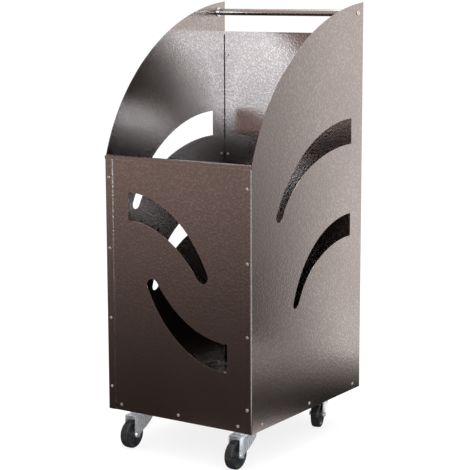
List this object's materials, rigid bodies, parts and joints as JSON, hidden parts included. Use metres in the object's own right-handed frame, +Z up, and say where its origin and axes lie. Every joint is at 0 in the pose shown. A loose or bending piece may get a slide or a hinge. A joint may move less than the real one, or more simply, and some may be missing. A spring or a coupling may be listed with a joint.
{
  "type": "wheeled firewood log rack",
  "caption": "Tall sheet-metal firewood rack on swivel casters, with arched sides, a lower front panel, crescent cut-outs and a round handle bar.",
  "frame": {"origin": "centre of the bounding box at floor level, under the casters' contact points", "axes": "+Z up, +X to the rack's right seen from the front, -Y toward the front panel"},
  "size_m": [0.3862, 0.486, 0.9807],
  "materials": {
    "panel_paint": "semi-gloss hammered bronze-grey metallic paint on sheet steel",
    "handle_paint": "semi-gloss bronze-grey metallic paint on round steel bar",
    "rivet_metal": "satin, lightly tinted by the paint around it",
    "zinc_steel": "bright zinc plating",
    "wheel_rubber": "smooth black hard rubber, semi-gloss"
  },
  "bodies": {
    "rack": {"right_side_panel": "panel_paint", "left_side_panel": "panel_paint", "front_panel": "panel_paint", "back_panel": "panel_paint", "floor_tray": "panel_paint", "handle_bar": "handle_paint", "handle_collar_right": "handle_paint", "handle_screw_right": "rivet_metal", "handle_collar_left": "handle_paint", "handle_screw_left": "rivet_metal", "left_front_rivet_1": "rivet_metal", "left_front_rivet_2": "rivet_metal", "left_front_rivet_3": "rivet_metal", "left_front_rivet_4": "rivet_metal", "right_front_rivet_1": "rivet_metal", "right_front_rivet_2": "rivet_metal", "right_front_rivet_3": "rivet_metal", "right_front_rivet_4": "rivet_metal", "left_back_rivet_1": "rivet_metal", "left_back_rivet_2": "rivet_metal", "left_back_rivet_3": "rivet_metal", "left_back_rivet_4": "rivet_metal", "right_back_rivet_1": "rivet_metal", "right_back_rivet_2": "rivet_metal", "right_back_rivet_3": "rivet_metal", "right_back_rivet_4": "rivet_metal", "tray_front_rivet_1": "rivet_metal", "tray_front_rivet_2": "rivet_metal", "tray_front_rivet_3": "rivet_metal", "tray_back_rivet_1": "rivet_metal", "tray_back_rivet_2": "rivet_metal", "tray_back_rivet_3": "rivet_metal", "tray_left_rivet_1": "rivet_metal", "tray_left_rivet_2": "rivet_metal", "tray_left_rivet_3": "rivet_metal", "tray_right_rivet_1": "rivet_metal", "tray_right_rivet_2": "rivet_metal", "tray_right_rivet_3": "rivet_metal", "front_left_caster_plate": "zinc_steel", "front_left_kingpin": "zinc_steel", "front_right_caster_plate": "zinc_steel", "front_right_kingpin": "zinc_steel", "rear_left_caster_plate": "zinc_steel", "rear_left_kingpin": "zinc_steel", "rear_right_caster_plate": "zinc_steel", "rear_right_kingpin": "zinc_steel"},
    "front_left_swivel": {"front_left_fork": "zinc_steel", "front_left_axle_bolt": "zinc_steel"},
    "front_left_roller": {"front_left_wheel": "wheel_rubber"},
    "front_right_swivel": {"front_right_fork": "zinc_steel", "front_right_axle_bolt": "zinc_steel"},
    "front_right_roller": {"front_right_wheel": "wheel_rubber"},
    "rear_left_swivel": {"rear_left_fork": "zinc_steel", "rear_left_axle_bolt": "zinc_steel"},
    "rear_left_roller": {"rear_left_wheel": "wheel_rubber"},
    "rear_right_swivel": {"rear_right_fork": "zinc_steel", "rear_right_axle_bolt": "zinc_steel"},
    "rear_right_roller": {"rear_right_wheel": "wheel_rubber"}
  },
  "joints": [
    {"name": "front_left_swivel", "type": "hinge", "parent": "rack", "child": "front_left_swivel", "pos_m": [-0.139, -0.1786, 0.077], "axis": [0, 0, 1], "continuous": true},
    {"name": "front_left_roll", "type": "hinge", "parent": "front_left_swivel", "child": "front_left_roller", "pos_m": [-0.139, -0.2116, 0.0315], "axis": [1, 0, 0], "continuous": true},
    {"name": "front_right_swivel", "type": "hinge", "parent": "rack", "child": "front_right_swivel", "pos_m": [0.139, -0.1786, 0.077], "axis": [0, 0, 1], "continuous": true},
    {"name": "front_right_roll", "type": "hinge", "parent": "front_right_swivel", "child": "front_right_roller", "pos_m": [0.139, -0.2116, 0.0315], "axis": [1, 0, 0], "continuous": true},
    {"name": "rear_left_swivel", "type": "hinge", "parent": "rack", "child": "rear_left_swivel", "pos_m": [-0.119, 0.1834, 0.077], "axis": [0, 0, 1], "continuous": true},
    {"name": "rear_left_roll", "type": "hinge", "parent": "rear_left_swivel", "child": "rear_left_roller", "pos_m": [-0.119, 0.1504, 0.0315], "axis": [1, 0, 0], "continuous": true},
    {"name": "rear_right_swivel", "type": "hinge", "parent": "rack", "child": "rear_right_swivel", "pos_m": [0.119, 0.1834, 0.077], "axis": [0, 0, 1], "continuous": true},
    {"name": "rear_right_roll", "type": "hinge", "parent": "rear_right_swivel", "child": "rear_right_roller", "pos_m": [0.1281, 0.15168, 0.0315], "axis": [0.9613, 0.2756, 0], "continuous": true}
  ]
}
